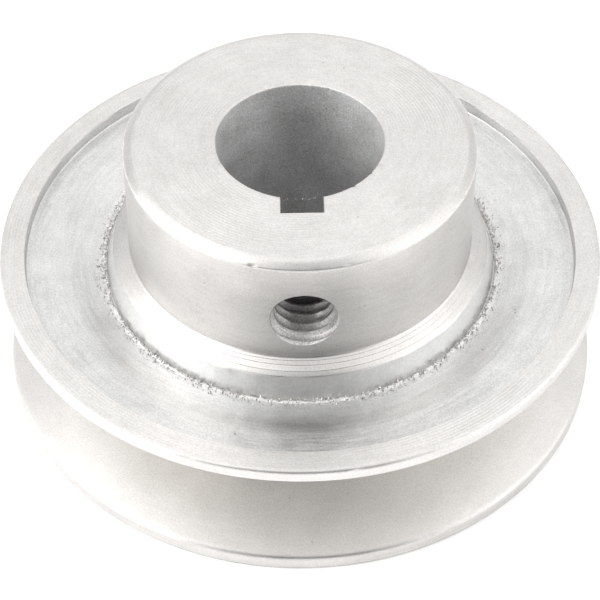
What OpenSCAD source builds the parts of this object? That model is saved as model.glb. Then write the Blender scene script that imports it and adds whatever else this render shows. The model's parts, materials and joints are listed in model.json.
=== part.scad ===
// V belt pulley: one machined aluminium casting and the set screw that locks it to its shaft.
// Millimetres. +Z runs along the bore, the origin is on the bore axis at the lower face,
// and the keyway and the tapped hole face -Y.

/* [Bore] */
// Bore diameter
bore_d = 19.05; // [15:0.05:24]
// Width of the keyway
keyway_w = 4.76; // [3:0.01:6]
// Distance from the bore axis to the keyway floor
keyway_reach = 11.735; // [11:0.005:14]

/* [Hub] */
// Hub diameter
hub_d = 40; // [36:0.5:42]
// Height of the hub above the lower face
hub_h = 32.7; // [30:0.1:50]
// Width of the rolled bevel round the hub's top edge
hub_bevel_w = 1; // [0.4:0.1:1.5]
// Drop of that bevel
hub_bevel_h = 0.65; // [0.2:0.05:1]
// Radius of the tool fillet at the hub's foot
hub_fillet_r = 0.6; // [0.3:0.1:1]

/* [Rim] */
// Outside diameter of the rim
rim_d = 70.6; // [68:0.2:80]
// Width of the rim along the bore
rim_w = 17.05; // [16:0.05:20]
// Width of the flat ring on each face of the rim
rim_face_w = 2.9; // [2:0.1:4]
// Bevel on the rim's outer edges
rim_bevel = 0.35; // [0.1:0.05:0.6]

/* [Belt groove] */
// Plain land above the groove
upper_land = 1.5; // [1.2:0.1:2.5]
// Plain land below the groove
lower_land = 1.9; // [1.2:0.1:2.5]
// Included angle of the groove
groove_angle = 34; // [30:1:38]
// Depth of the groove
groove_depth = 11; // [8:0.1:11.2]

/* [Web] */
// Depth of the cast recess at the hub
recess_in = 2.4; // [1.8:0.1:2.8]
// Depth of the cast recess halfway across
recess_mid = 1.55; // [1.5:0.05:2.2]
// Depth of the cast recess at the rim
recess_out = 1.45; // [0.8:0.05:1.6]
// Radial width of the cone that joins the hub's foot to the cast wall
shoulder_w = 2; // [1.5:0.1:2.5]
// Rise of that cone
shoulder_h = 1.2; // [0.8:0.1:1.6]
// Height of the hub's foot above the rim's upper face
shoulder_lift = 1.45; // [1.3:0.05:2]
// Radial draft of the cast wall below the cone
wall_draft = 1; // [0.5:0.1:1.2]

/* [Set screw] */
// Height of the tapped hole above the lower face
screw_z = 24.3; // [24:0.1:26]
// Radius of the tapped hole at its thread crests
tapped_r = 3.25; // [3:0.05:3.5]
// Running clearance between the screw and the tapped hole
screw_gap = 0.05; // [0.02:0.01:0.1]
// Length of the screw
screw_l = 4.76; // [4.5:0.01:6]
// Distance from the bore axis to the screw's point
screw_tip = 9.6; // [9.6:0.1:11]
// Hexagon socket, across its flats
socket_af = 3.97; // [3:0.01:4]
// Depth of the hexagon socket
socket_depth = 2.4; // [1.5:0.1:2.8]

/* [Hidden] */
$fn = 96;
CUT = 1;

hub_r = hub_d / 2;
rim_r = rim_d / 2;
shoulder_r = hub_r + shoulder_w;
web_in_r = shoulder_r + wall_draft;
recess_r = rim_r - rim_face_w;
recess_draft = 0.05;
web_out_r = recess_r - recess_draft;
web_mid_r = (web_in_r + web_out_r) / 2;
hub_foot_z = rim_w + shoulder_lift;

groove_root_r = rim_r - groove_depth;
groove_rise = groove_depth * tan(groove_angle / 2);
groove_low_z = lower_land;
groove_high_z = rim_w - upper_land;

screw_r = tapped_r - screw_gap;
screw_chamfer = 0.5;
cup_r = 1.9;
cup_depth = 0.9;
mouth_flare = 0.7;
mouth_depth = 0.7;
mouth_y = sqrt(pow(hub_r, 2) - pow(tapped_r + mouth_flare, 2));

// Points along an arc of radius r about [cx, cz], from angle a to angle b
function arc(cx, cz, r, a, b, steps = 6) =
    [for (i = [0:steps]) [cx + r * cos(a + (b - a) * i / steps), cz + r * sin(a + (b - a) * i / steps)]];

// Half section of the casting: radius across, height up, without the bore
casting_outline = concat(
    // lower face of the hub, then the lower cast recess
    [
        [0, 0],
        [shoulder_r, 0],
        [web_in_r, recess_in],
        [web_mid_r, recess_mid],
        [web_out_r, recess_out],
        [recess_r, 0],
    ],
    // lower flange, groove and upper flange
    [
        [rim_r - rim_bevel, 0],
        [rim_r, rim_bevel],
        [rim_r, groove_low_z],
        [groove_root_r, groove_low_z + groove_rise],
        [groove_root_r, groove_high_z - groove_rise],
        [rim_r, groove_high_z],
        [rim_r, rim_w - rim_bevel],
        [rim_r - rim_bevel, rim_w],
    ],
    // upper cast recess, drafted wall and shoulder cone
    [
        [recess_r, rim_w],
        [web_out_r, rim_w - recess_out],
        [web_mid_r, rim_w - recess_mid],
        [web_in_r, rim_w - recess_in],
        [shoulder_r, hub_foot_z - shoulder_h],
    ],
    // tool fillet at the hub's foot, hub wall and its bevelled top edge
    arc(hub_r + hub_fillet_r, hub_foot_z + hub_fillet_r, hub_fillet_r, 270, 180),
    [
        [hub_r, hub_h - hub_bevel_h],
        [hub_r - hub_bevel_w, hub_h],
        [0, hub_h],
    ]
);

// Half section of the screw blank: radius across, distance from its point up
screw_outline = [
    [0, 0],
    [screw_r - screw_chamfer, 0],
    [screw_r, screw_chamfer],
    [screw_r, screw_l - screw_chamfer],
    [screw_r - screw_chamfer, screw_l],
    [0, screw_l],
];

// Turns a shape built along +Z to point along -Y at the height of the tapped hole
module along_screw_axis() {
    translate([0, 0, screw_z])
        rotate([90, 0, 0])
            children();
}

module keyway_cut() {
    translate([-keyway_w / 2, -keyway_reach, -CUT])
        cube([keyway_w, keyway_reach, hub_h + 2 * CUT]);
}

// Tapped hole from the bore out through the hub, with the flare at its mouth
module tapped_hole() {
    along_screw_axis() {
        cylinder(r = tapped_r, h = hub_r + CUT);
        translate([0, 0, mouth_y - mouth_depth])
            cylinder(r1 = tapped_r, r2 = tapped_r + 2 * mouth_flare, h = 2 * mouth_depth);
    }
}

module pulley_casting() {
    color("gainsboro")
        difference() {
            rotate_extrude()
                polygon(casting_outline);
            translate([0, 0, -CUT])
                cylinder(d = bore_d, h = hub_h + 2 * CUT);
            keyway_cut();
            tapped_hole();
        }
}

// Socket screw with a cup point; the point faces the bore
module set_screw() {
    color("dimgray")
        along_screw_axis()
            translate([0, 0, screw_tip])
                difference() {
                    rotate_extrude()
                        polygon(screw_outline);
                    translate([0, 0, screw_l - socket_depth])
                        cylinder(d = socket_af / cos(30), h = socket_depth + CUT, $fn = 6);
                    translate([0, 0, -CUT])
                        cylinder(r1 = cup_r * (1 + CUT / cup_depth), r2 = 0, h = cup_depth + CUT);
                }
}

pulley_casting();
set_screw();
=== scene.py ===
"""Looks of a single-groove V belt pulley: its turned and cast aluminium body and its set screw.

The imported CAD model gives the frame, the overall sizes, the bore and the tapped hole's axis.
Everything is in metres and in the CAD's own frame: +Z along the bore, the keyway and the set
screw towards -Y.
"""

import json
import logging
import math
from dataclasses import dataclass
from enum import Enum
from typing import Optional

import bmesh
import bpy
import numpy as np
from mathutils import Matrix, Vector


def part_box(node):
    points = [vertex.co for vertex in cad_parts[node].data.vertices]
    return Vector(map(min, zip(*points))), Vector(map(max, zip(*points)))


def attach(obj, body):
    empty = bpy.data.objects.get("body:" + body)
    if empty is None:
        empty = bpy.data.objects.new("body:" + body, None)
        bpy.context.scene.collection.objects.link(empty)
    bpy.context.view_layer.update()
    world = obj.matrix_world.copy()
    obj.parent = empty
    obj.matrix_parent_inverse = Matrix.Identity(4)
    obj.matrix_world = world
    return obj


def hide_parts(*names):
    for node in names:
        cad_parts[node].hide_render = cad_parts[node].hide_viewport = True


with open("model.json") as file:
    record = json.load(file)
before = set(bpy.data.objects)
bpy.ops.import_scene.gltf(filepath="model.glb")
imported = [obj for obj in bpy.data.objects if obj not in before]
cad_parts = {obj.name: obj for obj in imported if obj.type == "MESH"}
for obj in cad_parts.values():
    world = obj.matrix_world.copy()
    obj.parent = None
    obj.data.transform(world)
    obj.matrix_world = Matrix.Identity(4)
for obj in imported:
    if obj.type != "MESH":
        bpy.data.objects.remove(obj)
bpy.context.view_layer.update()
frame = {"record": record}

MM = 0.001
FULL_TURN = 2 * math.pi
# vertices closer than this are one, in metres
MERGE_GAP = 1e-7
LOG = logging.getLogger("v_belt_pulley")

# the node types that the trees use most
MATH = "ShaderNodeMath"
VECTOR = "ShaderNodeVectorMath"
REMAP = "ShaderNodeMapRange"
NOISE = "ShaderNodeTexNoise"


# --------------------------------------------------------------------------- helpers


def linear(hex_colour: str) -> tuple[float, float, float, float]:
    """Turn an sRGB hex colour into the linear colour that a shader wants.

    Args:
        hex_colour: Six hex digits, with or without a leading '#'.

    Returns:
        Linear red, green, blue and an alpha of 1.
    """
    digits = hex_colour.lstrip("#")
    channels = [int(digits[i:i + 2], 16) / 255 for i in (0, 2, 4)]
    values = [c / 12.92 if c <= 0.04045 else ((c + 0.055) / 1.055) ** 2.4 for c in channels]
    return (values[0], values[1], values[2], 1.0)


def add(
    tree: bpy.types.NodeTree, kind: str, inputs: Optional[dict] = None, **settings: object
) -> bpy.types.Node:
    """Add one node to a tree with its settings and its inputs.

    Args:
        tree: The shader or geometry tree.
        kind: The node's Blender type name.
        inputs: Input name or number to a value, a socket, or a node whose first output is used.
        **settings: The node's own settings.

    Returns:
        The new node.
    """
    node = tree.nodes.new(kind)
    for name, value in settings.items():
        setattr(node, name, value)
    for socket, value in (inputs or {}).items():
        if isinstance(value, bpy.types.Node):
            value = value.outputs[0]
        if isinstance(value, bpy.types.NodeSocket):
            tree.links.new(value, node.inputs[socket])
        else:
            node.inputs[socket].default_value = value
    return node


def baked_mesh(obj: bpy.types.Object, name: str) -> bpy.types.Mesh:
    """Turn what an object's modifiers make into a plain mesh and clear the modifiers.

    Args:
        obj: The object whose modifiers are evaluated.
        name: The new mesh's name.

    Returns:
        The plain mesh, which is also the object's own mesh from now on.
    """
    depsgraph = bpy.context.evaluated_depsgraph_get()
    mesh = bpy.data.meshes.new_from_object(obj.evaluated_get(depsgraph), depsgraph=depsgraph)
    mesh.name = name
    obj.modifiers.clear()
    obj.data = mesh
    return mesh


def link_object(name: str, mesh: bpy.types.Mesh) -> bpy.types.Object:
    """Make an object for a mesh and put it in the scene.

    Args:
        name: The object's name.
        mesh: The mesh that it shows.

    Returns:
        The object, at the origin.
    """
    obj = bpy.data.objects.new(name, mesh)
    bpy.context.scene.collection.objects.link(obj)
    return obj


def close_and_face_out(mesh: bpy.types.Mesh) -> None:
    """Merge doubled vertices, drop slivers and turn every face outwards.

    Args:
        mesh: The mesh to clean.
    """
    work = bmesh.new()
    work.from_mesh(mesh)
    bmesh.ops.remove_doubles(work, verts=work.verts, dist=MERGE_GAP)
    bmesh.ops.dissolve_degenerate(work, edges=work.edges, dist=MERGE_GAP)
    bmesh.ops.recalc_face_normals(work, faces=work.faces)
    work.to_mesh(mesh)
    work.free()


def cut_away(obj: bpy.types.Object, cutters: list[bpy.types.Object]) -> bpy.types.Mesh:
    """Cut closed shapes out of an object, as a machine tool would, and remove the cutters.

    Args:
        obj: The object that loses material.
        cutters: Closed meshes that stand for what the tools remove.

    Returns:
        The object's new plain mesh.
    """
    for cutter in cutters:
        modifier = obj.modifiers.new(cutter.name, "BOOLEAN")
        modifier.operation = "DIFFERENCE"
        modifier.solver = "EXACT"
        modifier.object = cutter
    mesh = baked_mesh(obj, obj.name)
    for cutter in cutters:
        bpy.data.objects.remove(cutter)
    return mesh


# --------------------------------------------------------------------------- geometry trees


class GeometryTree:
    """A geometry node tree with named inputs, run once on an object and kept as a plain mesh."""

    SOCKETS = {
        float: "NodeSocketFloat",
        int: "NodeSocketInt",
        bpy.types.Material: "NodeSocketMaterial",
    }

    def __init__(self, name: str, values: dict[str, object]) -> None:
        """Make the empty tree.

        Args:
            name: The tree's name.
            values: Input name to the value that the input gets.
        """
        self.values = values
        self.tree = bpy.data.node_groups.new(name, "GeometryNodeTree")
        self.identifiers: dict[str, str] = {}
        face = self.tree.interface
        face.new_socket("Geometry", in_out="INPUT", socket_type="NodeSocketGeometry")
        face.new_socket("Geometry", in_out="OUTPUT", socket_type="NodeSocketGeometry")
        for label, value in values.items():
            kind = next(k for t, k in self.SOCKETS.items() if isinstance(value, t))
            self.identifiers[label] = face.new_socket(label, in_out="INPUT", socket_type=kind).identifier
        self.given = add(self.tree, "NodeGroupInput").outputs

    def run(self, obj: bpy.types.Object, geometry: bpy.types.Node) -> None:
        """End the tree with plain geometry in its Material input, and run it on an object.

        Args:
            obj: The object that holds the starting geometry and gets the result.
            geometry: The node whose first output is the finished shape.
        """
        real = add(self.tree, "GeometryNodeRealizeInstances", {"Geometry": geometry})
        dressed = add(
            self.tree, "GeometryNodeSetMaterial", {"Geometry": real, "Material": self.given["Material"]}
        )
        add(self.tree, "NodeGroupOutput", {"Geometry": dressed})
        modifier = obj.modifiers.new(self.tree.name, "NODES")
        modifier.node_group = self.tree
        for label, value in self.values.items():
            modifier[self.identifiers[label]] = value
        obj.update_tag()
        close_and_face_out(baked_mesh(obj, obj.name))


@dataclass(frozen=True)
class Thread:
    """A right-handed 60 degree screw thread along -Y, as a closed rod with shaped ends.

    Distances along the axis are counted from the bore axis, so two rods of the same pitch are in
    mesh wherever they lie.

    Attributes:
        axis_z: Height of the thread's axis.
        start: Distance of the end nearer the bore axis, and end of the further one.
        crest_r: Largest radius of the rod, with root_r its smallest between the ends.
        start_r: Radius at the start of the 45 degree cone that cuts it, and end_r at the end. A
            large one leaves that end square.
        mouth_r: Radius of the flare at the end, 0 for none, which narrows by mouth_slope.
        ragged: How far the tap has torn the flanks.
        steps_round: Sides of the rod, with rows_per_pitch its rows of faces in each pitch.
        crest_flat: Share of a pitch that is cut flat at the crest, and root_flat at the root.
    """

    axis_z: float
    start: float
    end: float
    crest_r: float
    root_r: float
    start_r: float
    end_r: float
    mouth_r: float = 0.0
    mouth_slope: float = 0.45
    ragged: float = 0.0
    pitch: float = 25.4 / 18 * MM
    steps_round: int = 72
    rows_per_pitch: int = 14
    crest_flat: float = 1 / 8
    root_flat: float = 1 / 4

    def rod(self, name: str, material: bpy.types.Material) -> bpy.types.Object:
        """Build the rod: a grid wrapped round the axis and shifted by one pitch in each turn.

        Args:
            name: The new object's name.
            material: The material that its faces get.

        Returns:
            The object, with a plain closed mesh.
        """
        geo = GeometryTree("Helical thread", {
            "Crest radius": self.crest_r,
            "Root radius": self.root_r,
            "Pitch": self.pitch,
            "Start": self.start,
            "End": self.end,
            "Start radius": self.start_r,
            "End radius": self.end_r,
            "Mouth radius": self.mouth_r,
            "Axis height": self.axis_z,
            "Raggedness": self.ragged,
            "Steps round": self.steps_round,
            "Rows per pitch": self.rows_per_pitch,
            "Material": material,
        })
        tree, given = geo.tree, geo.given
        # whole rows from one pitch before the start to the end, and a pole row at each side
        first = math.floor(self.start / self.pitch * self.rows_per_pitch) - self.rows_per_pitch
        spans = math.ceil(self.end / self.pitch * self.rows_per_pitch) - first
        columns = add(tree, MATH, {0: given["Steps round"], 1: 1}, operation="ADD")
        size = {"Size X": 1.0, "Size Y": spans + 2.0, "Vertices X": columns, "Vertices Y": spans + 3}
        grid = add(tree, "GeometryNodeMeshGrid", size)
        place = add(tree, "ShaderNodeSeparateXYZ", {0: add(tree, "GeometryNodeInputPosition")})
        turn = add(tree, MATH, {0: place.outputs["X"], 1: 0.5}, operation="ADD")
        row = add(tree, MATH, {0: place.outputs["Y"], 1: spans / 2}, operation="ADD")
        inside = add(tree, MATH, {0: place.outputs["Y"]}, operation="ABSOLUTE")
        inside = add(tree, MATH, {0: inside, 1: spans / 2 + 0.5}, operation="LESS_THAN")
        # distance along the axis: one pitch further after each turn, kept between the two ends
        ahead = add(tree, MATH, {0: row, 1: first}, operation="ADD")
        ahead = add(tree, MATH, {0: ahead, 1: given["Rows per pitch"]}, operation="DIVIDE")
        helix = add(tree, MATH, {0: ahead, 1: turn}, operation="ADD")
        helix = add(tree, MATH, {0: helix, 1: given["Pitch"]}, operation="MULTIPLY")
        along = add(tree, "ShaderNodeClamp", {0: helix, 1: given["Start"], 2: given["End"]})
        # radius: a triangle wave with its tips cut flat, then the shaped ends
        above_zero = 64.0
        phase = add(tree, MATH, {0: ahead, 1: above_zero}, operation="ADD")
        phase = add(tree, MATH, {0: phase}, operation="FRACT")
        wave = add(tree, MATH, {0: phase, 1: 2.0, 2: -1.0}, operation="MULTIPLY_ADD")
        wave = add(tree, MATH, {0: wave}, operation="ABSOLUTE")
        flats = {"Value": wave, "From Min": self.root_flat, "From Max": 1 - self.crest_flat}
        flats |= {"To Min": given["Root radius"], "To Max": given["Crest radius"]}
        radius = add(tree, REMAP, flats)
        rough = {"Vector": add(tree, "ShaderNodeCombineXYZ", {0: turn, 1: row}), "Scale": 9.0}
        rough = add(tree, NOISE, rough | {"W": 5.0, "Detail": 2.0}, noise_dimensions="4D")
        rough = add(tree, MATH, {0: rough, 1: -0.5}, operation="ADD")
        radius = add(tree, MATH, {0: rough, 1: given["Raggedness"], 2: radius}, operation="MULTIPLY_ADD")
        from_start = add(tree, MATH, {0: along, 1: given["Start"]}, operation="SUBTRACT")
        from_end = add(tree, MATH, {0: given["End"], 1: along}, operation="SUBTRACT")
        for end_radius, gap in (("Start radius", from_start), ("End radius", from_end)):
            cone = add(tree, MATH, {0: gap, 1: given[end_radius]}, operation="ADD")
            radius = add(tree, MATH, {0: radius, 1: cone}, operation="MINIMUM")
        slope = {0: from_end, 1: -self.mouth_slope, 2: given["Mouth radius"]}
        flare = add(tree, MATH, slope, operation="MULTIPLY_ADD")
        radius = add(tree, MATH, {0: radius, 1: flare}, operation="MAXIMUM")
        radius = add(tree, MATH, {0: radius, 1: inside}, operation="MULTIPLY")
        angle = add(tree, MATH, {0: turn, 1: FULL_TURN}, operation="MULTIPLY")
        cosine = add(tree, MATH, {0: angle}, operation="COSINE")
        x = add(tree, MATH, {0: cosine, 1: radius}, operation="MULTIPLY")
        y = add(tree, MATH, {0: along, 1: -1.0}, operation="MULTIPLY")
        sine = add(tree, MATH, {0: angle}, operation="SINE")
        z = add(tree, MATH, {0: sine, 1: radius, 2: given["Axis height"]}, operation="MULTIPLY_ADD")
        position = add(tree, "ShaderNodeCombineXYZ", {0: x, 1: y, 2: z})
        wrapped = add(tree, "GeometryNodeSetPosition", {"Geometry": grid, "Position": position})
        closed = add(tree, "GeometryNodeMergeByDistance", {"Geometry": wrapped, "Distance": MERGE_GAP})
        obj = link_object(name, bpy.data.meshes.new(name))
        geo.run(obj, closed)
        return obj


@dataclass(frozen=True)
class TornEdge:
    """Small torn chips that stand round a circle where a tool or a mould left a ragged edge.

    Attributes:
        radius: Radius of the circle, with height its height.
        spread: How far outside the circle the last chips lie.
        count: Number of chips.
        length: Length of the largest chip, with width its width.
        seed: First seed of the chips' random places, sizes and turns.
        lean: Least and greatest lean outwards off upright, in radians.
        twist: Least and greatest turn away from the outward direction, in radians.
        sizes: Smallest and largest share of the full size.
        far_size: Share of its size that a chip keeps at the outside of the spread.
    """

    radius: float
    height: float
    spread: float
    count: int
    length: float
    width: float
    seed: int
    lean: tuple[float, float] = (-1.2, 1.3)
    twist: tuple[float, float] = (-0.9, 0.9)
    sizes: tuple[float, float] = (0.35, 1.0)
    far_size: float = 0.45

    def chips(self, name: str, material: bpy.types.Material) -> bpy.types.Object:
        """Scatter the chips: more and larger ones on the circle, fewer further out.

        Args:
            name: The new object's name.
            material: The material that the chips get.

        Returns:
            The object, with a plain mesh of closed chips.
        """
        geo = GeometryTree("Torn edge", {
            "Radius": self.radius,
            "Height": self.height,
            "Spread": self.spread,
            "Length": self.length,
            "Width": self.width,
            "Count": self.count,
            "Seed": self.seed,
            "Material": material,
        })
        tree, given = geo.tree, geo.given
        chance = []
        ranges = ((0.0, FULL_TURN), (0.0, 1.0), self.lean, self.twist, self.sizes)
        for i, (low, high) in enumerate(ranges):
            seed = add(tree, MATH, {0: given["Seed"], 1: float(i)}, operation="ADD")
            node = add(tree, "FunctionNodeRandomValue", {"Seed": seed}, data_type="FLOAT")
            node.inputs[2].default_value = low
            node.inputs[3].default_value = high
            chance.append(node.outputs[1])
        angle, outward, lean, twist, size = chance
        # few chips lie far out
        out = add(tree, MATH, {0: outward, 1: 3.0}, operation="POWER")
        reach = {0: out, 1: given["Spread"], 2: given["Radius"]}
        reach = add(tree, MATH, reach, operation="MULTIPLY_ADD")
        cosine = add(tree, MATH, {0: angle}, operation="COSINE")
        sine = add(tree, MATH, {0: angle}, operation="SINE")
        x = add(tree, MATH, {0: cosine, 1: reach}, operation="MULTIPLY")
        y = add(tree, MATH, {0: sine, 1: reach}, operation="MULTIPLY")
        spot = add(tree, "ShaderNodeCombineXYZ", {0: x, 1: y, 2: given["Height"]})
        heading = add(tree, MATH, {0: angle, 1: twist}, operation="ADD")
        turned = add(tree, "ShaderNodeCombineXYZ", {1: lean, 2: heading})
        smaller = add(tree, REMAP, {"Value": out, "To Min": 1.0, "To Max": self.far_size})
        size = add(tree, MATH, {0: size, 1: smaller}, operation="MULTIPLY")
        thick = add(tree, MATH, {0: size, 1: given["Width"]}, operation="MULTIPLY")
        long = add(tree, MATH, {0: size, 1: given["Length"]}, operation="MULTIPLY")
        scale = add(tree, "ShaderNodeCombineXYZ", {0: thick, 1: thick, 2: long})
        points = add(tree, "GeometryNodePoints", {"Count": given["Count"], "Position": spot})
        cone = {"Vertices": 5, "Radius Top": 0.0, "Radius Bottom": 0.5, "Depth": 1.0}
        chip = add(tree, "GeometryNodeMeshCone", cone)
        placed = {"Points": points, "Instance": chip, "Rotation": turned, "Scale": scale}
        obj = link_object(name, bpy.data.meshes.new(name))
        geo.run(obj, add(tree, "GeometryNodeInstanceOnPoints", placed))
        return obj


# --------------------------------------------------------------------------- finishes


class Surface(Enum):
    """The surfaces of the pulley, named for how each was made."""

    FACED = "faced"
    TURNED = "turned"
    GROOVED = "grooved"
    BORED = "bored"
    BROACHED = "broached"
    TAPPED = "tapped"
    CAST = "cast"
    DRAGGED = "dragged"


@dataclass(frozen=True)
class MetalFinish:
    """A bare metal surface: its colour, its polish and the marks that its tool left.

    Tool marks follow the section of a turned part: across (1, 0) gives rings on a face and
    (0, 1) gives rings round a wall. Sizes are in metres.

    Attributes:
        name: The material's name.
        colour: sRGB hex colour of the clean metal, with shade that of its dark patches.
        roughness: Middle of the roughness, with swing its spread between clouds.
        across: Share of the radius and of the height that the marks count along.
        pitch: Distance between marks.
        depth: Height of the regular marks.
        patch: Size of the areas where the regular marks show or fade.
        streak: Height of the irregular marks, with streak_tone the weight of their shade.
        run: Radius that the marks turn on; the smaller, the longer each streak runs round.
        grain: Size of the fine grain, with its height in grain_depth.
        mottle: Share of the shade colour in the darkest clouds.
        cloud: Size of the clouds.
        pit: Distance between places where a pore of pit_depth may lie; pit_share of them have one.
        metallic: 1 for clean metal, less where open grain or dirt scatters the light.
        brushed: How far marks too fine to draw stretch the highlights across them.
        dulling: Roughness that a knocked edge gains.
        seed: Seed of every pattern in this finish.
    """

    name: str
    colour: str
    shade: str
    roughness: float
    across: tuple[float, float]
    pitch: float
    depth: float
    grain: float
    grain_depth: float
    mottle: float
    seed: float
    streak: float = 0.0
    run: float = 4 * MM
    cloud: float = 5 * MM
    pit: float = 0.6 * MM
    pit_depth: float = 0.02 * MM
    pit_share: float = 0.012
    metallic: float = 1.0
    brushed: float = 0.0
    swing: float = 0.08
    streak_tone: float = 0.2
    patch: float = 14 * MM
    dulling: float = 0.08

    def material(self) -> bpy.types.Material:
        """Build the material, with all its patterns on object coordinates.

        Returns:
            The new material.
        """
        material = bpy.data.materials.new(self.name)
        material.use_nodes = True
        tree = material.node_tree
        tree.nodes.clear()
        spot = add(tree, "ShaderNodeTexCoord").outputs["Object"]
        # the same point told as a distance along the section and a direction round the bore axis
        flat = add(tree, VECTOR, {0: spot, 1: (1, 1, 0)}, operation="MULTIPLY")
        radial = add(tree, VECTOR, {0: flat}, operation="LENGTH").outputs["Value"]
        height = add(tree, "ShaderNodeSeparateXYZ", {0: spot}).outputs["Z"]
        direction = add(tree, VECTOR, {0: flat}, operation="NORMALIZE")
        across = add(tree, MATH, {0: radial, 1: self.across[0]}, operation="MULTIPLY")
        across = add(tree, MATH, {0: height, 1: self.across[1], 2: across}, operation="MULTIPLY_ADD")
        lift = add(tree, "ShaderNodeCombineXYZ", {"Z": across})
        trail = {0: direction, 1: (self.run, self.run, 0), 2: lift}
        trail = add(tree, VECTOR, trail, operation="MULTIPLY_ADD")
        sweep = self._noise(tree, trail, 1.6 * self.pitch, 0)
        cloud = self._noise(tree, spot, self.cloud, 1)
        grain = self._noise(tree, spot, self.grain, 2)
        fade = self._noise(tree, spot, self.patch, 3)
        # the regular marks wander a little, and they fade in and out as light cuts do
        wander = add(tree, MATH, {0: sweep, 1: 2.0}, operation="MULTIPLY")
        ring = {0: across, 1: FULL_TURN / self.pitch, 2: wander}
        ring = add(tree, MATH, ring, operation="MULTIPLY_ADD")
        ring = add(tree, MATH, {0: ring}, operation="SINE")
        showing = {"Value": fade, "From Min": 0.42, "From Max": 0.58, "To Min": 0.15}
        ring = add(tree, MATH, {0: ring, 1: add(tree, REMAP, showing)}, operation="MULTIPLY")
        cells = {"Vector": spot, "W": self.seed, "Scale": 1 / self.pit}
        cells = add(tree, "ShaderNodeTexVoronoi", cells, voronoi_dimensions="4D").outputs
        hole = {"Value": cells["Distance"], "From Min": 0.08, "From Max": 0.3}
        hole |= {"To Min": 1.0, "To Max": 0.0}
        hole = add(tree, REMAP, hole, interpolation_type="SMOOTHSTEP")
        lot = add(tree, "ShaderNodeSeparateXYZ", {0: cells["Color"]})
        lot = add(tree, MATH, {0: lot, 1: self.pit_share}, operation="LESS_THAN")
        pits = add(tree, MATH, {0: hole, 1: lot}, operation="MULTIPLY")
        relief = (
            (ring, self.depth),
            (sweep, self.streak),
            (grain, self.grain_depth),
            (pits, -self.pit_depth),
        )
        height = add(tree, "ShaderNodeValue")
        height.outputs[0].default_value = 0.0
        for pattern, size in relief:
            height = add(tree, MATH, {0: pattern, 1: size, 2: height}, operation="MULTIPLY_ADD")
        bump = add(tree, "ShaderNodeBump", {"Height": height, "Strength": 1.0, "Distance": 1.0})
        dark = {"From Min": 0.3, "From Max": 0.7, "To Min": self.mottle, "To Max": 0.0}
        tone = add(tree, "ShaderNodeValue")
        tone.outputs[0].default_value = 0.0
        for pattern, share in ((cloud, 0.6), (grain, 1.5), (sweep, self.streak_tone)):
            speck = add(tree, REMAP, {"Value": pattern} | dark)
            tone = add(tree, MATH, {0: speck, 1: share, 2: tone}, operation="MULTIPLY_ADD")
        tone = add(tree, MATH, {0: pits, 1: 0.6, 2: tone}, operation="MULTIPLY_ADD", use_clamp=True)
        colours = {0: tone, 6: linear(self.colour), 7: linear(self.shade)}
        colour = add(tree, "ShaderNodeMix", colours, data_type="RGBA").outputs[2]
        worn = add(tree, "ShaderNodeAttribute", attribute_name="worn").outputs["Fac"]
        rough = {"Value": cloud, "From Min": 0.3, "From Max": 0.7}
        rough |= {"To Min": self.roughness - self.swing / 2, "To Max": self.roughness + self.swing / 2}
        rough = add(tree, REMAP, rough)
        rough = add(tree, MATH, {0: worn, 1: self.dulling, 2: rough}, operation="MULTIPLY_ADD")
        look = {"Base Color": colour, "Metallic": self.metallic, "Roughness": rough, "Normal": bump}
        if self.brushed > 0:
            round_axis = add(tree, "ShaderNodeTangent", direction_type="RADIAL", axis="Z")
            look |= {"Anisotropic": self.brushed, "Anisotropic Rotation": 0.25, "Tangent": round_axis}
        shader = add(tree, "ShaderNodeBsdfPrincipled", look)
        add(tree, "ShaderNodeOutputMaterial", {"Surface": shader})
        return material

    def _noise(
        self, tree: bpy.types.NodeTree, place: bpy.types.NodeSocket, size: float, shift: int
    ) -> bpy.types.Node:
        """Add one noise of this finish's own seed.

        Args:
            tree: The material's tree.
            place: The coordinates that it reads.
            size: Size of its features, in metres.
            shift: Added to the seed, so that no two patterns agree.

        Returns:
            The noise node.
        """
        inputs = {"Vector": place, "W": self.seed * 7 + shift, "Scale": 1 / size}
        inputs |= {"Detail": 4.0, "Roughness": 0.6}
        return add(tree, NOISE, inputs, noise_dimensions="4D")


# Aluminium alloy faced on a lathe: satin, with fine concentric rings that come and go.
FACED = MetalFinish(
    name="faced_aluminium",
    colour="#F2F0EE",
    shade="#B6B4B1",
    roughness=0.34,
    brushed=0.6,
    across=(1, 0),
    pitch=0.38 * MM,
    depth=0.007 * MM,
    streak=0.012 * MM,
    streak_tone=0.5,
    grain=0.16 * MM,
    grain_depth=0.006 * MM,
    mottle=0.32,
    seed=1.0,
)

# The same alloy turned round a wall: the marks run round it, close together.
TURNED = MetalFinish(
    name="turned_aluminium",
    colour="#E9E7E5",
    shade="#ACA9A6",
    roughness=0.31,
    brushed=0.5,
    across=(0, 1),
    pitch=0.32 * MM,
    depth=0.003 * MM,
    streak=0.008 * MM,
    streak_tone=0.5,
    run=3 * MM,
    grain=0.16 * MM,
    grain_depth=0.006 * MM,
    mottle=0.29,
    seed=2.0,
)

# The belt groove, plunged with a form tool: fine marks round the flanks and a chatter grain.
GROOVED = MetalFinish(
    name="form_turned_aluminium",
    colour="#EBE9E6",
    shade="#AAA7A4",
    roughness=0.38,
    brushed=0.4,
    across=(1, 0),
    pitch=0.28 * MM,
    depth=0.001 * MM,
    streak=0.004 * MM,
    grain=0.16 * MM,
    grain_depth=0.006 * MM,
    mottle=0.28,
    seed=3.0,
)

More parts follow.
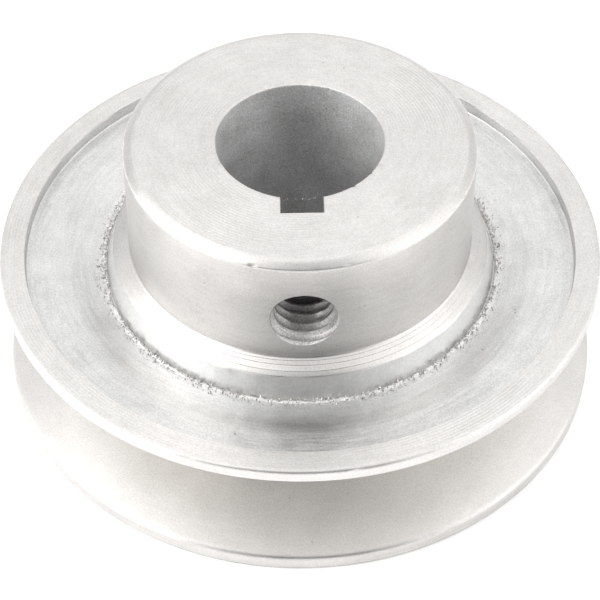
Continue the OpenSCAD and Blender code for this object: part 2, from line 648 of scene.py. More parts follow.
# The bore, cut through coarse cast metal: grey and dull, peppered with opened pores. Its open
# grain scatters light as paint does, so it isn't all mirror.
BORED = MetalFinish(
    name="bored_aluminium",
    colour="#F4F4F3",
    shade="#7A7A7A",
    roughness=0.5,
    metallic=0.5,
    brushed=0.8,
    across=(0, 1),
    pitch=0.4 * MM,
    depth=0.003 * MM,
    streak=0.012 * MM,
    grain=0.16 * MM,
    grain_depth=0.02 * MM,
    mottle=0.4,
    pit=0.4 * MM,
    pit_share=0.35,
    seed=4.0,
)

# The keyway, drawn through with a broach: dull, with scores along the bore.
BROACHED = MetalFinish(
    name="broached_aluminium",
    colour="#B4B4B3",
    shade="#6C6C6C",
    roughness=0.45,
    metallic=0.4,
    across=(1, 0),
    pitch=0.25 * MM,
    depth=0.004 * MM,
    grain=0.3 * MM,
    grain_depth=0.01 * MM,
    mottle=0.3,
    seed=5.0,
)

# The tapped hole: flanks torn and burnished by the tap, with a darker shade and a heavier mottle than
# the faces.
TAPPED = MetalFinish(
    name="tapped_aluminium",
    colour="#F0EEEC",
    shade="#8F8D8C",
    roughness=0.36,
    metallic=0.5,
    across=(1, 0),
    pitch=0.3 * MM,
    depth=0.003 * MM,
    streak=0.02 * MM,
    grain=0.2 * MM,
    grain_depth=0.02 * MM,
    mottle=0.5,
    seed=6.0,
)

# The web, left as it came from the mould: matt and mottled, with flow wisps round the hub.
CAST = MetalFinish(
    name="as_cast_aluminium",
    colour="#F2F2F1",
    shade="#A2A2A1",
    roughness=0.35,
    across=(1, 0),
    pitch=0.36 * MM,
    depth=0.0,
    streak=0.05 * MM,
    streak_tone=0.7,
    run=3 * MM,
    grain=0.17 * MM,
    grain_depth=0.014 * MM,
    mottle=0.3,
    pit=0.7 * MM,
    pit_share=0.03,
    seed=7.0,
)

# The drafted wall under the shoulder: cast skin dragged upwards by the tool that passed it. Its colour
# and shade are lighter than the cast web's: painted light that makes up for the shade which the burr and
# chips below cast on it.
DRAGGED = MetalFinish(
    name="dragged_cast_aluminium_painted_light",
    # painted light: colour and shade lighter than the cast web's, against the shade of the burr and
    # chips
    colour="#FBFBFA",
    shade="#C0C0BF",
    roughness=0.4,
    across=(0.15, 0.15),
    pitch=0.14 * MM,
    depth=0.0,
    streak=0.02 * MM,
    run=22 * MM,
    grain=0.3 * MM,
    grain_depth=0.01 * MM,
    mottle=0.2,
    seed=8.0,
)

# Alloy steel with a black oxide skin: dark grey, with a soft oily sheen.
BLACK_OXIDE = MetalFinish(
    name="black_oxide_alloy_steel",
    colour="#98989A",
    shade="#5C5C5E",
    roughness=0.5,
    across=(1, 0),
    pitch=0.25 * MM,
    depth=0.002 * MM,
    grain=0.2 * MM,
    grain_depth=0.006 * MM,
    mottle=0.4,
    pit_share=0.01,
    seed=9.0,
)

FINISHES: dict[Surface, MetalFinish] = {
    Surface.FACED: FACED,
    Surface.TURNED: TURNED,
    Surface.GROOVED: GROOVED,
    Surface.BORED: BORED,
    Surface.BROACHED: BROACHED,
    Surface.TAPPED: TAPPED,
    Surface.CAST: CAST,
    Surface.DRAGGED: DRAGGED,
}


# --------------------------------------------------------------------------- the pulley


@dataclass(frozen=True)
class Corner:
    """A corner of the pulley's half section and the surface that runs on from it.

    Attributes:
        r: Distance from the bore axis.
        z: Height.
        round_r: Radius that breaks the corner, 0 for none.
        surface: How the surface after this corner was made.
        step: Greatest distance between points along that surface.
        worn: True where handling has nicked the corner.
    """

    r: float
    z: float
    round_r: float
    surface: Surface
    step: float
    worn: bool = False


@dataclass(frozen=True)
class SectionPoint:
    """A point of the finished half section: where it is and what happens to the metal there."""

    r: float
    z: float
    surface: Surface
    worn: float


@dataclass(frozen=True)
class Pulley:
    """The pulley's one casting, turned, bored, broached and tapped.

    Lengths that aren't listed here are the CAD's own.

    Attributes:
        cone_step: Height of each step that the tool left on the shoulder cone.
        cone_step_places: Where those steps lie, as shares of the cone from its top.
        channel: Depth of the channel between the torn edge and the drafted wall.
        notch: Depth of the undercut below the upper rim face, and half its height.
        edge_break: Radius that breaks a turned edge.
        key_break: Size of the chamfer where the keyway leaves the faces.
        burr_w: Half width of the raised torn edge round the shoulder.
        nick_w: How far a nick reaches along a surface from its corner.
        nick_share: Greatest share of a surface that nick_w may take up.
        steps_round: Sides of the turned shape.
        arc_step: Greatest turn between two points of a rounded corner.
        sharp_angle: Faces that meet at more than this keep a crisp edge.
    """

    rim_r: float
    hub_h: float
    bore_r: float
    screw_z: float
    hub_r: float = 20 * MM
    hub_bevel_w: float = 1.0 * MM
    hub_bevel_h: float = 0.65 * MM
    rim_w: float = 17.05 * MM
    rim_face_w: float = 2.9 * MM
    shoulder_w: float = 2.0 * MM
    shoulder_h: float = 1.2 * MM
    shoulder_lift: float = 1.45 * MM
    cone_step: float = 0.07 * MM
    cone_step_places: tuple[float, ...] = (0.72, 0.42, 0.2)
    channel: float = 0.5 * MM
    wall_draft: float = 1.0 * MM
    recess_in: float = 2.4 * MM
    recess_mid: float = 1.55 * MM
    recess_out: float = 1.45 * MM
    recess_draft: float = 0.05 * MM
    notch: float = 0.08 * MM
    edge_break: float = 0.12 * MM
    upper_land: float = 1.5 * MM
    lower_land: float = 1.9 * MM
    groove_angle: float = math.radians(34)
    groove_depth: float = 11.0 * MM
    keyway_w: float = 4.76 * MM
    keyway_reach: float = 11.735 * MM
    key_break: float = 0.07 * MM
    burr_w: float = 0.2 * MM
    nick_w: float = 0.22 * MM
    nick_share: float = 0.4
    steps_round: int = 336
    arc_step: float = math.radians(26)
    sharp_angle: float = math.radians(33)

    def build(self) -> bpy.types.Object:
        """Build the pulley and dress it.

        Returns:
            The finished piece.
        """
        finishes = {surface: FINISHES[surface].material() for surface in Surface}
        points = self._section()
        LOG.info("section of %d points, %d steps round", len(points), self.steps_round)
        body = self._revolved(points, finishes[Surface.CAST])
        cut_away(body, [self._keyway_cutter(), self._tap_cutter(finishes[Surface.TAPPED])])
        solid_faces = len(body.data.polygons)
        self._tear_edges(body.data, finishes[Surface.TURNED])
        self._dress(body.data, points, finishes, solid_faces)
        return body

    def _tear_edges(self, mesh: bpy.types.Mesh, material: bpy.types.Material) -> None:
        """Add the torn chips where the tools ran out: at the burr ring and at the bore's mouth.

        Args:
            mesh: The pulley's mesh, which the chips join.
            material: The material that the chips get first.
        """
        burr_z = self.rim_w - self.recess_in
        burr_r = self.hub_r + self.shoulder_w + self.wall_draft + 0.7 * self.burr_w
        edges = [
            TornEdge(
                radius=burr_r,
                height=burr_z + 0.06 * MM,
                spread=1.7 * MM,
                count=2800,
                length=0.44 * MM,
                width=0.24 * MM,
                seed=21,
            ),
            TornEdge(
                radius=self.bore_r + 0.05 * MM,
                height=self.hub_h - 0.02 * MM,
                spread=0.5 * MM,
                count=260,
                length=0.14 * MM,
                width=0.1 * MM,
                seed=31,
            ),
        ]
        work = bmesh.new()
        work.from_mesh(mesh)
        for edge in edges:
            chips = edge.chips("chips", material)
            work.from_mesh(chips.data)
            bpy.data.objects.remove(chips)
        work.to_mesh(mesh)
        work.free()

    def _corners(self) -> list[Corner]:
        """List the half section's corners.

        Returns:
            The corners, from the bore's lower edge out, up, in and down.
        """
        shoulder_r = self.hub_r + self.shoulder_w
        web_in_r = shoulder_r + self.wall_draft
        recess_r = self.rim_r - self.rim_face_w
        web_out_r = recess_r - self.recess_draft
        web_mid_r = (web_in_r + web_out_r) / 2
        root_r = self.rim_r - self.groove_depth
        rise = self.groove_depth * math.tan(self.groove_angle / 2)
        foot_z = self.rim_w + self.shoulder_lift
        burr_z = self.rim_w - self.recess_in
        faced, turned, cast = Surface.FACED, Surface.TURNED, Surface.CAST
        grooved, bored, dragged = Surface.GROOVED, Surface.BORED, Surface.DRAGGED
        return [
            # lower face of the hub and the lower cast recess
            Corner(self.bore_r, 0, self.edge_break, faced, 1.8 * MM),
            Corner(shoulder_r, 0, 0.35 * MM, cast, 0.8 * MM),
            Corner(web_in_r, self.recess_in, 0.5 * MM, cast, 0.8 * MM),
            Corner(web_mid_r, self.recess_mid, 3 * MM, cast, 0.8 * MM),
            Corner(web_out_r, self.recess_out, 0.9 * MM, cast, 0.5 * MM),
            # lower flange, groove and upper flange
            Corner(recess_r, 0, self.edge_break, faced, 1.2 * MM),
            Corner(self.rim_r, 0, 0.3 * MM, turned, 0.7 * MM, worn=True),
            Corner(self.rim_r, self.lower_land, 0.6 * MM, grooved, 1.1 * MM, worn=True),
            Corner(root_r, self.lower_land + rise, 0.4 * MM, grooved, 1.8 * MM),
            Corner(root_r, self.rim_w - self.upper_land - rise, 0.4 * MM, grooved, 1.2 * MM),
            Corner(self.rim_r, self.rim_w - self.upper_land, 0.08 * MM, turned, 0.6 * MM),
            Corner(self.rim_r, self.rim_w, 0.38 * MM, faced, 0.6 * MM, worn=True),
            # upper cast recess up to the burr, and the channel and the drafted wall behind it
            Corner(recess_r, self.rim_w, 0, turned, 0.5 * MM),
            Corner(recess_r + self.notch, self.rim_w - self.notch / 2, 0, turned, 0.5 * MM),
            Corner(recess_r + self.notch, self.rim_w - 1.5 * self.notch, 0, turned, 0.5 * MM),
            Corner(recess_r, self.rim_w - 2 * self.notch, 0, cast, 0.5 * MM),
            Corner(web_out_r, self.rim_w - self.recess_out, 0.2 * MM, cast, 0.45 * MM),
            Corner(web_mid_r, self.rim_w - self.recess_mid, 8 * MM, cast, 0.4 * MM),
            Corner(web_in_r + 4 * self.burr_w, burr_z, 0, cast, 0.12 * MM),
            Corner(web_in_r + self.burr_w, burr_z, 0.1 * MM, cast, 0.12 * MM),
            Corner(web_in_r, burr_z - self.channel, 0.1 * MM, dragged, 0.35 * MM),
            # shoulder cone with its fine steps, and the hub
            Corner(shoulder_r, foot_z - self.shoulder_h, 0.3 * MM, turned, 0.4 * MM),
            *self._cone_steps(foot_z),
            Corner(self.hub_r, foot_z, 0.35 * MM, turned, 1.1 * MM),
            Corner(self.hub_r, self.hub_h - self.hub_bevel_h, 0.3 * MM, turned, 0.25 * MM, worn=True),
            Corner(self.hub_r - self.hub_bevel_w, self.hub_h, 0.9 * MM, faced, 1.1 * MM, worn=True),
            Corner(self.bore_r, self.hub_h, self.edge_break, bored, 1.5 * MM, worn=True),
        ]

    def _cone_steps(self, foot_z: float) -> list[Corner]:
        """List the corners of the steps that the tool left up the shoulder cone.

        Args:
            foot_z: Height of the cone's top, at the hub's foot.

        Returns:
            The corners, from the outside in.
        """
        corners = []
        for share in self.cone_step_places:
            r = self.hub_r + share * self.shoulder_w
            z = foot_z - share * self.shoulder_h
            corners.append(Corner(r, z, 0, Surface.TURNED, MM))
            corners.append(Corner(r, z + self.cone_step, 0, Surface.TURNED, MM))
        return corners

    def _section(self) -> list[SectionPoint]:
        """Round the corners and space points along the surfaces between them.

        Returns:
            The closed half section, counter-clockwise with the radius to the right.
        """
        corners = self._corners()
        count = len(corners)
        arcs = [self._arc(corners[i - 1], corners[i], corners[(i + 1) % count]) for i in range(count)]
        points: list[SectionPoint] = []
        for i, corner in enumerate(corners):
            before = corners[i - 1].surface
            middle = len(arcs[i]) // 2
            for k, (r, z) in enumerate(arcs[i]):
                surface = before if k < middle else corner.surface
                points.append(SectionPoint(r, z, surface, 1.0 if corner.worn else 0.0))
            start, end = arcs[i][-1], arcs[(i + 1) % count][0]
            length = math.dist(start, end)
            spans = max(1, math.ceil(length / corner.step))
            shares = [k / spans for k in range(1, spans)]
            # one more row close to a nicked corner keeps the nicks short
            guard = self.nick_w / length
            if corner.worn and guard < self.nick_share:
                shares.append(guard)
            if corners[(i + 1) % count].worn and guard < self.nick_share:
                shares.append(1 - guard)
            for t in sorted(shares):
                r = start[0] + t * (end[0] - start[0])
                z = start[1] + t * (end[1] - start[1])
                points.append(SectionPoint(r, z, corner.surface, 0.0))
        return points

    def _arc(self, before: Corner, corner: Corner, after: Corner) -> list[tuple[float, float]]:
        """Points of the arc that breaks one corner.

        Args:
            before: The corner before it.
            corner: The corner.
            after: The corner after it.

        Returns:
            The points, or the corner's own where it isn't rounded.
        """
        here = Vector((corner.r, corner.z))
        back = (Vector((before.r, before.z)) - here).normalized()
        ahead = (Vector((after.r, after.z)) - here).normalized()
        half = back.angle(ahead) / 2
        straight = 1e-3
        if corner.round_r <= 0 or math.pi / 2 - half < straight:
            return [(corner.r, corner.z)]
        centre = here + (back + ahead).normalized() * corner.round_r / math.sin(half)
        first = here + back * corner.round_r / math.tan(half) - centre
        last = here + ahead * corner.round_r / math.tan(half) - centre
        turn = math.atan2(first.x * last.y - first.y * last.x, first.dot(last))
        steps = max(2, math.ceil(abs(turn) / self.arc_step))
        start = math.atan2(first.y, first.x)
        size = corner.round_r
        angles = [start + turn * k / steps for k in range(steps + 1)]
        return [(centre.x + size * math.cos(a), centre.y + size * math.sin(a)) for a in angles]

    def _revolved(self, points: list[SectionPoint], material: bpy.types.Material) -> bpy.types.Object:
        """Turn the section round the bore axis, with the cast skin, the burr and the nicks.

        Args:
            points: The closed half section.
            material: The material that its faces get first.

        Returns:
            The object, with a plain closed mesh.
        """
        count = len(points)
        mesh = bpy.data.meshes.new("pulley_section")
        edges = [(i, (i + 1) % count) for i in range(count)]
        mesh.from_pydata([(p.r, 0, p.z) for p in points], edges, [])
        web_in_r = self.hub_r + self.shoulder_w + self.wall_draft
        burr_z = self.rim_w - self.recess_in
        masks = {
            "cast": [1.0 if p.surface in (Surface.CAST, Surface.DRAGGED) else 0.0 for p in points],
            "worn": [p.worn for p in points],
            "burr": [
                math.exp(-(((p.r - web_in_r - 1.3 * self.burr_w) / self.burr_w) ** 2))
                if abs(p.z - burr_z) < 3 * self.burr_w else 0.0
                for p in points
            ],
        }
        for name, values in masks.items():
            mesh.attributes.new(name, "FLOAT", "POINT").data.foreach_set("value", values)
        body = link_object("pulley", mesh)
        geo = GeometryTree("Revolved section", {
            "Steps round": self.steps_round,
            "Cast swell": 0.08 * MM,
            "Cast grain": 0.05 * MM,
            "Burr height": 0.22 * MM,
            "Nick depth": 0.2 * MM,
            "Seed": 11.0,
            "Material": material,
        })
        tree, given = geo.tree, geo.given
        section = given["Geometry"]
        columns = add(tree, MATH, {0: given["Steps round"], 1: 1}, operation="ADD")
        size = {"Size X": 1.0, "Size Y": float(count), "Vertices X": columns, "Vertices Y": count + 1}
        grid = add(tree, "GeometryNodeMeshGrid", size)
        here = add(tree, "GeometryNodeInputPosition")
        place = add(tree, "ShaderNodeSeparateXYZ", {0: here})
        angle = add(tree, MATH, {0: place.outputs["X"], 1: FULL_TURN}, operation="MULTIPLY")
        index = add(tree, MATH, {0: place.outputs["Y"], 1: count / 2}, operation="ADD")
        index = add(tree, MATH, {0: index}, operation="ROUND")
        index = add(tree, MATH, {0: index, 1: float(count)}, operation="MODULO")
        taken = {"Geometry": section, "Value": here, "Index": index}
        taken = add(tree, "GeometryNodeSampleIndex", taken, data_type="FLOAT_VECTOR")
        turned = {"Vector": taken, "Axis": (0, 0, 1), "Angle": angle}
        turned = add(tree, "ShaderNodeVectorRotate", turned, rotation_type="AXIS_ANGLE")
        # the masks are kept on the grid before it is wrapped, because they go by its rows
        kept = grid
        for name in masks:
            mask = add(tree, "GeometryNodeInputNamedAttribute", {"Name": name}, data_type="FLOAT")
            value = {"Geometry": section, "Value": mask, "Index": index}
            value = add(tree, "GeometryNodeSampleIndex", value, data_type="FLOAT")
            stored = {"Geometry": kept, "Name": name, "Value": value}
            kept = add(tree, "GeometryNodeStoreNamedAttribute", stored, data_type="FLOAT")
        wrapped = add(tree, "GeometryNodeSetPosition", {"Geometry": kept, "Position": turned})
        closed = add(tree, "GeometryNodeMergeByDistance", {"Geometry": wrapped, "Distance": MERGE_GAP})
        # how far each point moves along its normal: noise of each size, its range and its mask
        moves = (
            ("cast", 3.5 * MM, (0.25, 0.75), (-0.5, 0.5), "Cast swell"),
            ("cast", 0.9 * MM, (0.25, 0.75), (-0.5, 0.5), "Cast grain"),
            ("burr", 0.7 * MM, (0.3, 0.7), (0.0, 1.0), "Burr height"),
            ("worn", 0.6 * MM, (0.62, 0.76), (0.0, -1.0), "Nick depth"),
        )
        total = add(tree, "ShaderNodeValue")
        total.outputs[0].default_value = 0.0
        for shift, (name, size, span, reach, label) in enumerate(moves):
            seed = add(tree, MATH, {0: given["Seed"], 1: float(shift)}, operation="ADD")
            noise = {"Vector": here, "W": seed, "Scale": 1 / size, "Detail": 2.0}
            noise = add(tree, NOISE, noise, noise_dimensions="4D")
            noise = {"Value": noise, "From Min": span[0], "From Max": span[1]}
            move = add(tree, REMAP, noise | {"To Min": reach[0], "To Max": reach[1]})
            mask = add(tree, "GeometryNodeInputNamedAttribute", {"Name": name}, data_type="FLOAT")
            mask = add(tree, MATH, {0: mask, 1: given[label]}, operation="MULTIPLY")
            total = add(tree, MATH, {0: move, 1: mask, 2: total}, operation="MULTIPLY_ADD")
        offset = {0: add(tree, "GeometryNodeInputNormal"), "Scale": total}
        offset = add(tree, VECTOR, offset, operation="SCALE")
        geo.run(body, add(tree, "GeometryNodeSetPosition", {"Geometry": closed, "Offset": offset}))
        return body

    def _keyway_cutter(self) -> bpy.types.Object:
        """Make what the broach removes: a bar through the bore, wider where it leaves the faces.

        Returns:
            The cutter, a closed mesh.
        """
        past = 1 * MM
        levels = [
            (-past, self.key_break + past),
            (self.key_break, 0),
            (self.hub_h - self.key_break, 0),
            (self.hub_h + past, self.key_break + past),
        ]
        work = bmesh.new()
        rings = []
        for z, grow in levels:
            half, reach = self.keyway_w / 2 + grow, self.keyway_reach + grow
            outline = [(-half, -reach), (half, -reach), (half, 0), (-half, 0)]
            rings.append([work.verts.new((x, y, z)) for x, y in outline])
        for low, high in zip(rings, rings[1:]):
            for i in range(4):
                work.faces.new((low[i], low[(i + 1) % 4], high[(i + 1) % 4], high[i]))
        work.faces.new(reversed(rings[0]))
        work.faces.new(rings[-1])
        mesh = bpy.data.meshes.new("keyway_cutter")
        work.to_mesh(mesh)
        work.free()
        close_and_face_out(mesh)
        return link_object("keyway_cutter", mesh)

    def _tap_cutter(self, material: bpy.types.Material) -> bpy.types.Object:
        """Make what the drill and tap remove: a threaded rod from the bore out past the hub.

        Args:
            material: The material that its faces get.

        Returns:
            The cutter, a closed mesh.
        """
        thread = Thread(
            axis_z=self.screw_z,
            start=self.bore_r - 2.4 * MM,
            end=self.hub_r + 0.6 * MM,
            crest_r=3.92 * MM,
            root_r=3.25 * MM,
            start_r=3.0 * MM,
            end_r=1.0,
            mouth_r=4.22 * MM,
            ragged=0.25 * MM,
        )
        return thread.rod("tap_cutter", material)

    def _dress(
        self,
        mesh: bpy.types.Mesh,
        points: list[SectionPoint],
        finishes: dict[Surface, bpy.types.Material],
        solid_faces: int,
    ) -> None:
        """Give each face the finish of the surface that it lies on, and mark the crisp edges.

        Args:
            mesh: The pulley's mesh.
            points: The half section that it was turned from.
            finishes: The material of each surface.
            solid_faces: Number of faces before the first torn chip, which the tool burnished.
        """
        mesh.materials.clear()
        order = list(Surface)
        for surface in order:
            mesh.materials.append(finishes[surface])
        centres = np.empty(len(mesh.polygons) * 3)
        mesh.polygons.foreach_get("center", centres)
        centres = centres.reshape(-1, 3)
        radial = np.hypot(centres[:, 0], centres[:, 1])
        spots = np.stack([radial, centres[:, 2]], 1)
        chosen = np.zeros(len(spots), int)
        nearest = np.full(len(spots), np.inf)
        for point, following in zip(points, points[1:] + points[:1]):
            start = np.array([point.r, point.z])
            span = np.array([following.r, following.z]) - start
            share = np.clip((spots - start) @ span / max(span @ span, 1e-18), 0, 1)
            gap = np.linalg.norm(spots - start - share[:, None] * span, axis=1)
            closer = gap < nearest
            nearest[closer] = gap[closer]
            chosen[closer] = order.index(point.surface)
        # how far the bounds of the cut surfaces stay off the bore, and off the hub's outside
        off_bore, off_face = 0.05 * MM, 0.02 * MM
        keyway_corner, mouth_r = 0.5 * MM, 4.4 * MM
        in_keyway = (np.abs(centres[:, 0]) < self.keyway_w / 2 + off_bore) & (centres[:, 1] < 0)
        in_keyway &= (radial > self.bore_r + off_bore) & (radial < self.keyway_reach + keyway_corner)
        in_keyway &= (centres[:, 2] > off_face) & (centres[:, 2] < self.hub_h - off_face)
        from_screw_axis = np.hypot(centres[:, 0], centres[:, 2] - self.screw_z)
        in_hole = (from_screw_axis < mouth_r) & (centres[:, 1] < 0)
        in_hole &= (radial > self.bore_r + off_bore) & (radial < self.hub_r - off_face)
        chosen[in_keyway] = order.index(Surface.BROACHED)
        chosen[in_hole] = order.index(Surface.TAPPED)
        chosen[solid_faces:] = order.index(Surface.TURNED)
        mesh.polygons.foreach_set("material_index", chosen.astype(np.int32))
        mesh.polygons.foreach_set("use_smooth", np.ones(len(mesh.polygons), bool))
        mesh.set_sharp_from_angle(angle=self.sharp_angle)
        mesh.update()


# --------------------------------------------------------------------------- the set screw


@dataclass(frozen=True)
class SetScrew:
    """The hexagon-socket set screw with a cup point that locks the pulley to its shaft.

    Attributes:
        tip: Distance of its point from the bore axis, with end that of its outer face.
        axis_z: Height of its axis.
        crest_r: Radius of the thread's crests, with root_r that of its roots.
        tip_r: Radius of the point's flat, with end_r that of the outer face.
        socket_af: Hexagon across its flats, with socket_depth its depth.
        socket_lead: Size of the socket's lead-in chamfer.
        drill_point: Depth of the cone below the hexagon.
        cup_r: Radius of the cup at the point, with cup_depth its depth.
        cup_sides: Sides of the cup.
        sharp_angle: Faces that meet at more than this keep a crisp edge.
    """

    tip: float
    end: float
    axis_z: float
    crest_r: float = 3.87 * MM
    root_r: float = 3.2 * MM
    tip_r: float = 2.75 * MM
    end_r: float = 3.1 * MM
    socket_af: float = 3.97 * MM
    socket_depth: float = 2.4 * MM
    socket_lead: float = 0.2 * MM
    drill_point: float = 0.5 * MM
    cup_r: float = 1.9 * MM
    cup_depth: float = 0.9 * MM
    cup_sides: int = 48
    sharp_angle: float = math.radians(30)

    def build(self) -> bpy.types.Object:
        """Build the screw and dress it.

        Returns:
            The finished piece.
        """
        material = BLACK_OXIDE.material()
        thread = Thread(
            axis_z=self.axis_z,
            start=self.tip,
            end=self.end,
            crest_r=self.crest_r,
            root_r=self.root_r,
            start_r=self.tip_r,
            end_r=self.end_r,
        )
        screw = thread.rod("socket_set_screw", material)
        mesh = cut_away(screw, [self._socket_cutter(), self._cup_cutter()])
        close_and_face_out(mesh)
        mesh.materials.clear()
        mesh.materials.append(material)
        mesh.polygons.foreach_set("use_smooth", np.ones(len(mesh.polygons), bool))
        mesh.set_sharp_from_angle(angle=self.sharp_angle)
        mesh.update()
        return screw

    def _lofted(self, name: str, rings: list[tuple[float, float]], sides: int) -> bpy.types.Object:
        """Join regular polygons along the screw's axis into a closed shape with pointed ends.

        Args:
            name: The new object's name.
            rings: Distance from the bore axis and corner radius of each polygon.
            sides: Sides of each polygon.

        Returns:
            The shape, as an object.
        """
        work = bmesh.new()
        loops = []
        for along, radius in rings:
            if radius == 0:
                loops.append([work.verts.new((0, -along, self.axis_z))] * sides)
                continue
            angles = [FULL_TURN * (k + 0.5) / sides for k in range(sides)]
            loops.append([
                work.verts.new((radius * math.cos(a), -along, self.axis_z + radius * math.sin(a)))
                for a in angles
            ])
        for low, high in zip(loops, loops[1:]):
            for i in range(sides):
                ring = [low[i], low[(i + 1) % sides], high[(i + 1) % sides], high[i]]
                work.faces.new(list(dict.fromkeys(ring)))
        mesh = bpy.data.meshes.new(name)
        work.to_mesh(mesh)
        work.free()
        close_and_face_out(mesh)
        return link_object(name, mesh)

    def _socket_cutter(self) -> bpy.types.Object:
        """Make what the socket's punch and drill remove: a hexagon with a lead-in and a cone.

        Returns:
            The cutter, a closed mesh.
        """
        corner_r = self.socket_af / 2 / math.cos(math.pi / 6)
        floor = self.end - self.socket_depth
        rings = [
            (floor - self.drill_point, 0.0),
            (floor, corner_r),
            (self.end - self.socket_lead, corner_r),
            (self.end + self.socket_lead, corner_r + 2 * self.socket_lead),
            (self.end + 2 * self.socket_lead, 0.0),
        ]
        return self._lofted("socket_cutter", rings, 6)

    def _cup_cutter(self) -> bpy.types.Object:
        """Make what turning the cup point removes: a cone from the tip inwards.

        Returns:
            The cutter, a closed mesh.
        """
        slope = self.cup_r / self.cup_depth
        past = 0.3 * MM
        rings = [
            (self.tip - 2 * past, 0.0),
            (self.tip - past, self.cup_r + slope * past),
            (self.tip + self.cup_depth, 0.0),
        ]
        return self._lofted("cup_cutter", rings, self.cup_sides)


# --------------------------------------------------------------------------- the studio


@dataclass(frozen=True)
class Panel:
    """A part of the tent that glows more or less than the rest.

    Attributes:
        toward: Direction from the table to the panel's middle.
        gain: Share of the tent's glow that it adds, or takes away below 0.
        outer: Cosine of the angle from its middle where it starts.
        inner: Cosine of the angle where it is full.
    """

    toward: tuple[float, float, float]
    gain: float
    outer: float
    inner: float


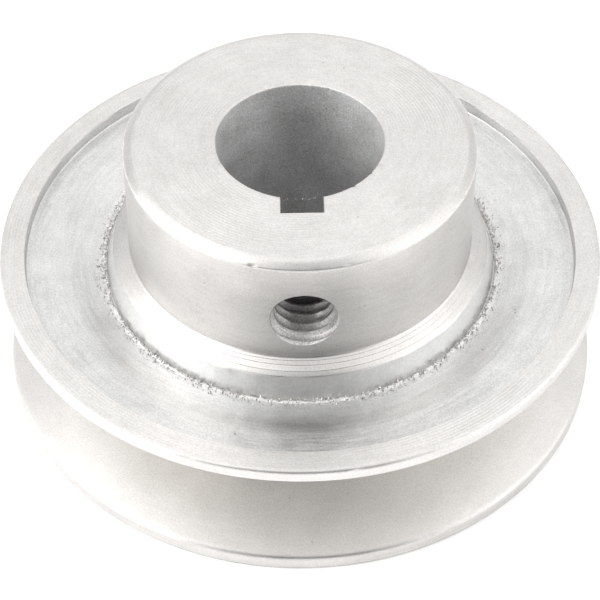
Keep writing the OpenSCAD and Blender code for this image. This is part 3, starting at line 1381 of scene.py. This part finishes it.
@dataclass(frozen=True)
class Studio:
    """A white table in a white tent: softboxes at the sides, a dim opening for the camera.

    Attributes:
        lamps: Place and watts of each lamp over the table, in metres.
        lamp_size: Side of each lamp.
        panels: Parts of the tent that differ from the rest.
        glow: Strength of the tent at the foot of its rise and at its top.
        rise: Upward part of a direction where the glow starts to rise and where it would end.
        distance: Distance from the camera to the point that it looks at.
        aim_z: Height of that point on the bore axis.
        elevation: Angle of the camera above the table, in radians.
        azimuth: Turn of the camera about the bore axis from straight in front, in radians.
        lens: Focal length in millimetres, with sensor the width of the sensor.
        near: Distance from which the camera sees.
        table_size: Side of the square table top.
    """

    lamps: tuple[tuple[tuple[float, float, float], float], ...] = (
        ((-0.15, -0.02, 0.12), 0.2),
        ((0.15, -0.03, 0.12), 0.1),
    )
    panels: tuple[Panel, ...] = (
        Panel((-0.75, -0.3, 0.62), 0.9, 0.6, 0.93),
        Panel((-0.95, -0.25, 0.2), 0.6, 0.75, 0.96),
        Panel((0.8, -0.25, 0.5), 0.35, 0.6, 0.93),
        Panel((0.95, -0.25, 0.2), 0.45, 0.75, 0.96),
        Panel((0.35, 0.65, 0.65), 0.06, 0.7, 0.98),
        Panel((0.0, -0.98, 0.17), -0.65, 0.72, 0.98),
        Panel((0.0, -0.77, 0.64), -0.72, 0.72, 0.98),
        Panel((0.0, -0.37, 0.93), -0.15, 0.75, 0.98),
    )
    lamp_size: float = 0.12
    glow: tuple[float, float] = (0.9, 1.45)
    rise: tuple[float, float] = (0.45, 1.05)
    distance: float = 251.2 * MM
    aim_z: float = 6.7 * MM
    elevation: float = math.radians(46.27)
    azimuth: float = math.radians(-1.3)
    lens: float = 124.0
    sensor: float = 36.0
    near: float = 10 * MM
    table_size: float = 1.6

    def build(self) -> None:
        """Make the camera, the light and the table."""
        self._camera()
        self._light()
        self._table()

    def _toward_camera(self) -> Vector:
        """Work out where the camera stands.

        Returns:
            The direction from the object to the camera.
        """
        level = math.cos(self.elevation)
        return Vector((
            level * math.sin(self.azimuth),
            -level * math.cos(self.azimuth),
            math.sin(self.elevation),
        ))

    def _camera(self) -> None:
        """Make the camera and point it at the pulley."""
        data = bpy.data.cameras.new("camera")
        data.lens = self.lens
        data.sensor_width = self.sensor
        data.clip_start = self.near
        camera = bpy.data.objects.new("camera", data)
        bpy.context.scene.collection.objects.link(camera)
        back = self._toward_camera()
        camera.location = Vector((0, 0, self.aim_z)) + back * self.distance
        camera.rotation_euler = (-back).to_track_quat("-Z", "Y").to_euler()
        bpy.context.scene.camera = camera

    def _light(self) -> None:
        """Light the scene: a softly glowing tent, and a lamp above the table on either side.

        The lamps only brighten the table top, which the pulley's sides then reflect.
        """
        world = bpy.data.worlds.new("white_tent")
        bpy.context.scene.world = world
        world.use_nodes = True
        tree = world.node_tree
        tree.nodes.clear()
        ray = add(tree, "ShaderNodeTexCoord").outputs["Generated"]
        rise = add(tree, "ShaderNodeSeparateXYZ", {0: ray}).outputs["Z"]
        glow = {"Value": rise, "From Min": self.rise[0], "From Max": self.rise[1]}
        glow |= {"To Min": self.glow[0], "To Max": self.glow[1]}
        glow = add(tree, REMAP, glow, interpolation_type="SMOOTHSTEP")
        for panel in self.panels:
            facing = {0: ray, 1: tuple(Vector(panel.toward).normalized())}
            facing = add(tree, VECTOR, facing, operation="DOT_PRODUCT").outputs["Value"]
            edge = {"Value": facing, "From Min": panel.outer, "From Max": panel.inner}
            edge |= {"To Min": 1.0, "To Max": 1.0 + panel.gain}
            part = add(tree, REMAP, edge, interpolation_type="SMOOTHSTEP")
            glow = add(tree, MATH, {0: glow, 1: part}, operation="MULTIPLY")
        background = add(tree, "ShaderNodeBackground", {"Color": linear("#FFFFFF"), "Strength": glow})
        add(tree, "ShaderNodeOutputWorld", {"Surface": background})
        for i, (place, power) in enumerate(self.lamps):
            data = bpy.data.lights.new(f"table_lamp_{i}", "AREA")
            data.size = self.lamp_size
            data.energy = power
            lamp = bpy.data.objects.new(data.name, data)
            lamp.location = place
            lamp.visible_glossy = False
            bpy.context.scene.collection.objects.link(lamp)
        view = bpy.context.scene.view_settings
        view.view_transform = "Standard"
        view.look = "None"

    def _table(self) -> None:
        """Lay the table top under the pulley."""
        work = bmesh.new()
        bmesh.ops.create_grid(work, x_segments=8, y_segments=8, size=self.table_size / 2)
        mesh = bpy.data.meshes.new("table_top")
        work.to_mesh(mesh)
        work.free()
        material = bpy.data.materials.new("white_laminate")
        material.use_nodes = True
        shader = material.node_tree.nodes["Principled BSDF"]
        shader.inputs["Base Color"].default_value = linear("#FCFCFC")
        shader.inputs["Roughness"].default_value = 0.7
        mesh.materials.append(material)
        link_object("table_top", mesh)


# --------------------------------------------------------------------------- main


def mount(name: str) -> dict:
    """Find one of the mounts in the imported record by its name."""
    return next(m for m in frame["record"]["mounts"] if m["name"] == name)


def main() -> None:
    """Build the pulley, its set screw and the studio, and tie each piece to its CAD body."""
    logging.basicConfig(level=logging.INFO, format="%(name)s: %(message)s")
    low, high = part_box("pulley_casting")
    screw_low, screw_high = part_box("set_screw")
    screw_z = (screw_low.z + screw_high.z) / 2
    Studio().build()
    pulley = Pulley(
        rim_r=(high.x - low.x) / 2,
        hub_h=high.z,
        bore_r=mount("bore")["dims"]["r_mm"] * MM,
        screw_z=screw_z,
    ).build()
    screw = SetScrew(tip=-screw_high.y, end=-screw_low.y, axis_z=screw_z).build()
    pieces = [
        (pulley, "pulley", "pulley_casting", "machined_aluminium"),
        (screw, "screw", "set_screw", "black_oxide_steel"),
    ]
    for piece, body, node, slot in pieces:
        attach(piece, body)
        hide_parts(node)
        LOG.info("%s: %d faces, rides on %s", piece.name, len(piece.data.polygons), body)


if __name__ == "__main__":
    main()
